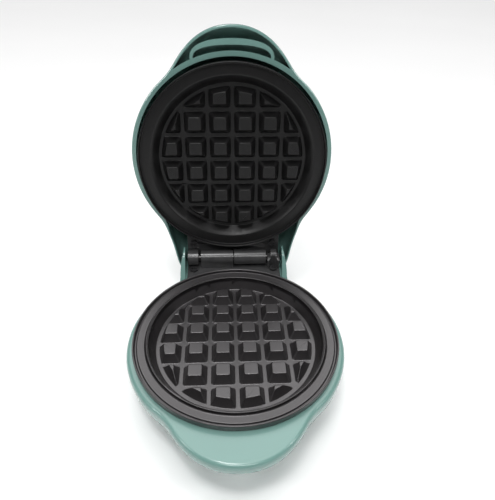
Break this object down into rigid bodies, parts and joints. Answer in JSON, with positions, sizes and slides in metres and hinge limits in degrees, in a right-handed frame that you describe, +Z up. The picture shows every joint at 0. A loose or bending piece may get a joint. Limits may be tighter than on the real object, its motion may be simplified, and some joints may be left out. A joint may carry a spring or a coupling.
{
  "type": "mini waffle maker",
  "caption": "Small round countertop waffle maker with a hinged lid, pegged non-stick plates, grip tabs and a flat base; shown open.",
  "frame": {"origin": "on the table plane, under the middle of the open appliance's bounding box, on its mirror plane", "axes": "+X to the right seen from the front, +Y to the back where the hinge is, +Z up"},
  "size_m": [0.1256, 0.1918, 0.179],
  "materials": {
    "mint_shell": "smooth glossy moulded plastic, pale green",
    "nonstick_lower": "die-cast aluminium under dark grey non-stick coating",
    "nonstick_upper": "die-cast aluminium under near-black non-stick coating",
    "hinge_black": "satin black coated hinge",
    "pin_steel": "bright drawn steel",
    "screw_steel": "black coated steel",
    "heater_steel": "heat-tinted steel sheath",
    "sheet_steel": "galvanised sheet",
    "cover_black": "fine textured black plastic",
    "rubber_black": "matt black rubber",
    "phenolic": "dark brown phenolic",
    "fuse_body": "white sleeve",
    "block_plastic": "off-white ceramic-like plastic",
    "wire_insulation": "woven glass sleeve",
    "lens_clear": "translucent red lens",
    "lamp_glass": "small neon lamp"
  },
  "bodies": {
    "base": {"base_shell": "mint_shell", "lower_plate": "nonstick_lower", "base_hinge_leaf": "hinge_black", "hinge_pin": "pin_steel", "base_hinge_screws": "screw_steel", "lower_heating_element": "heater_steel", "lower_element_clamp": "sheet_steel", "lower_heat_shield": "sheet_steel", "lower_clamp_screws": "pin_steel", "lower_plate_screws": "pin_steel", "thermostat": "phenolic", "thermal_fuse": "fuse_body", "terminal_block": "block_plastic", "lower_wiring": "wire_insulation", "cord_bushing": "rubber_black", "base_cover": "cover_black", "cover_screws": "screw_steel", "foot_front_left": "rubber_black", "foot_front_right": "rubber_black", "foot_rear_left": "rubber_black", "foot_rear_right": "rubber_black"},
    "lid": {"lid_shell": "mint_shell", "upper_plate": "nonstick_upper", "lid_hinge_leaf": "hinge_black", "lid_hinge_screws": "screw_steel", "upper_heating_element": "heater_steel", "upper_element_clamp": "sheet_steel", "upper_heat_shield": "sheet_steel", "upper_clamp_screws": "pin_steel", "upper_plate_screws": "pin_steel", "upper_shield_screws": "pin_steel", "indicator_lens": "lens_clear", "lamp_holder": "cover_black", "indicator_lamp": "lamp_glass"}
  },
  "joints": [
    {"name": "lid_hinge", "type": "hinge", "parent": "base", "child": "lid", "pos_m": [0, 0.048, 0.03827], "axis": [1, 0, 0], "range_deg": [0, 99.9]}
  ]
}
